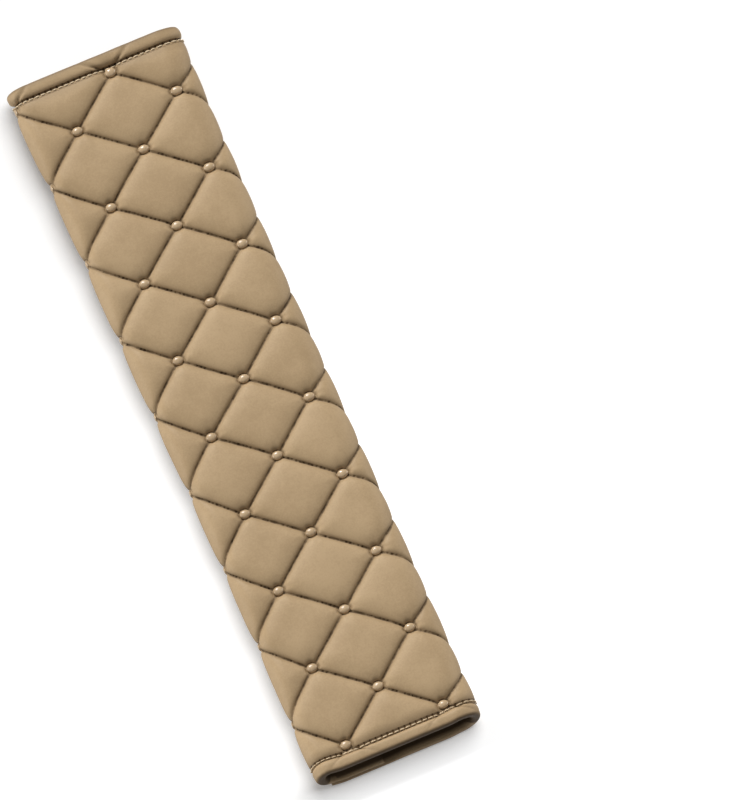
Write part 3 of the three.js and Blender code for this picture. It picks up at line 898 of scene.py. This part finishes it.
seam_inset, thread_off_flap, tape_thread_radius, tape_thread_bow = 1.2, 0.12, 0.2, 0.2


def tape_row_points(x, z, way):
    """Gives the points of a straight row at x and z, whose stitches show above for way 1 and below
    for way -1."""
    def point_at(s, across, out):
        return np.stack(np.broadcast_arrays(x + way * across, s, z + way * out), -1) * MM
    return point_at


for side, way in (("left", -1), ("right", 1)):
    seam_x = tape_centre + way * (tape_width / 2 - seam_inset)
    under_outer_flap = tape_row_points(seam_x, outer_flap_face - thin_wall - thread_off_flap, -1)
    over_inner_flap = tape_row_points(seam_x, inner_flap_face + thread_off_flap, 1)
    stitches("hook_stitches_" + side, "hook_tape_thread_" + side, -tape_length / 2, tape_length / 2,
             under_outer_flap, tape_thread_radius, tape_thread_bow)
    stitches("loop_stitches_" + side, "loop_tape_thread_" + side, -tape_length / 2, tape_length / 2,
             over_inner_flap, tape_thread_radius, tape_thread_bow)


# Studio: a white table in soft light. The key comes from the far end, two low fills light the pad's
# sides, a wide lamp of its own gives the table its shadow, and the camera looks through a long lens.
table_reach = 4
floor_mesh = bpy.data.meshes.new("table")
floor_mesh.from_pydata([(-table_reach, -table_reach, 0), (table_reach, -table_reach, 0),
                        (table_reach, table_reach, 0), (-table_reach, table_reach, 0)], [], [(0, 1, 2, 3)])
floor = bpy.data.objects.new("table", floor_mesh)
bpy.context.scene.collection.objects.link(floor)
white, where, surface = new_material("white table", 0.9, 0.0)
surface.inputs["Base Color"].default_value = (0.86, 0.86, 0.86, 1)
surface.inputs["Emission Strength"].default_value = 1
# The table glows a little for the camera alone, so that it is white outside the pad's shadow. The glow
# is weaker towards the far end and in a strip under the near hem, which paints the pad's shadow darker
# there
full_glow, far_glow, strip_glow = 0.42, 0.2, 0.17
_, y_at, _ = where.split()
glow = y_at.between(-0.02, 0.12, full_glow, far_glow)
glow = glow.math("MINIMUM", y_at.between(-0.144, -0.134, strip_glow, full_glow))
glow = strongest(glow, y_at.between(-0.156, -0.148, full_glow, 0.0))
feed(surface, Emission_Color=where.make("LightPath", {}, {}, "Is Camera Ray") * glow)
floor.data.materials.append(white)
floor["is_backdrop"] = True

ambient = 0.24
world = bpy.data.worlds.new("studio")
bpy.context.scene.world = world
world.use_nodes = True
seen = Shade(world.node_tree).make("LightPath", {}, {}, "Is Camera Ray")
backdrop = world.node_tree.nodes["Background"]
backdrop.inputs["Color"].default_value = (1, 1, 1, 1)
world.node_tree.links.new((seen * (1 - ambient) + ambient).socket, backdrop.inputs["Strength"])


def lamp(name, azimuth, elevation, strength, spread, lit):
    """A far round lamp at an azimuth from +Y towards +X and an elevation, with its apparent size, all in
    degrees. strength is what it adds on a level face, and lit are the objects that it lights."""
    data = bpy.data.lights.new(name, "SUN")
    data.energy = strength * math.pi / math.sin(math.radians(elevation))
    data.angle = math.radians(spread)
    made = bpy.data.objects.new(name, data)
    made.rotation_euler = (math.radians(elevation - 90), 0, -math.radians(azimuth))
    bpy.context.scene.collection.objects.link(made)
    group = bpy.data.collections.new("lit by the " + name)
    for lit_object in lit:
        group.objects.link(lit_object)
    made.light_linking.receiver_collection = group


lamp("key", -6, 40, 0.61, 20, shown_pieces())
lamp("left fill", -80, 14, 0.1, 20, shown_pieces())
lamp("right fill", 85, 14, 0.06, 20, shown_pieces())
lamp("table light", 46, 63, 0.74, 52, [floor])

# The camera's place puts the middle of the pad's top at its pixel in a picture of 739 by 800
picture_width, picture_height, pixels_per_mm = 739, 800, 2.735
pad_in_picture = (242.34, 401.75)
camera_distance, sensor = 11.5, 36
azimuth, elevation = math.radians(-23.35), math.radians(74)
scene = bpy.context.scene
scene.view_settings.view_transform = "Standard"
camera_data = bpy.data.cameras.new("camera")
camera_data.sensor_width = sensor
camera_data.lens = pixels_per_mm * sensor * camera_distance / MM / picture_height
camera_data.clip_end = 20
camera = bpy.data.objects.new("camera", camera_data)
scene.collection.objects.link(camera)
scene.camera = camera
right = np.array([math.cos(azimuth), math.sin(azimuth), 0])
back = np.array([math.sin(azimuth) * math.cos(elevation), -math.cos(azimuth) * math.cos(elevation),
                 math.sin(elevation)])
up = np.cross(back, right)
aim = np.array([0, 0, front_face + puff_wall]) * MM
aim = aim + right * (picture_width / 2 - pad_in_picture[0]) / pixels_per_mm * MM
aim = aim + up * (pad_in_picture[1] - picture_height / 2) / pixels_per_mm * MM
camera.location = aim + back * camera_distance
camera.rotation_euler = (math.pi / 2 - elevation, 0, azimuth)
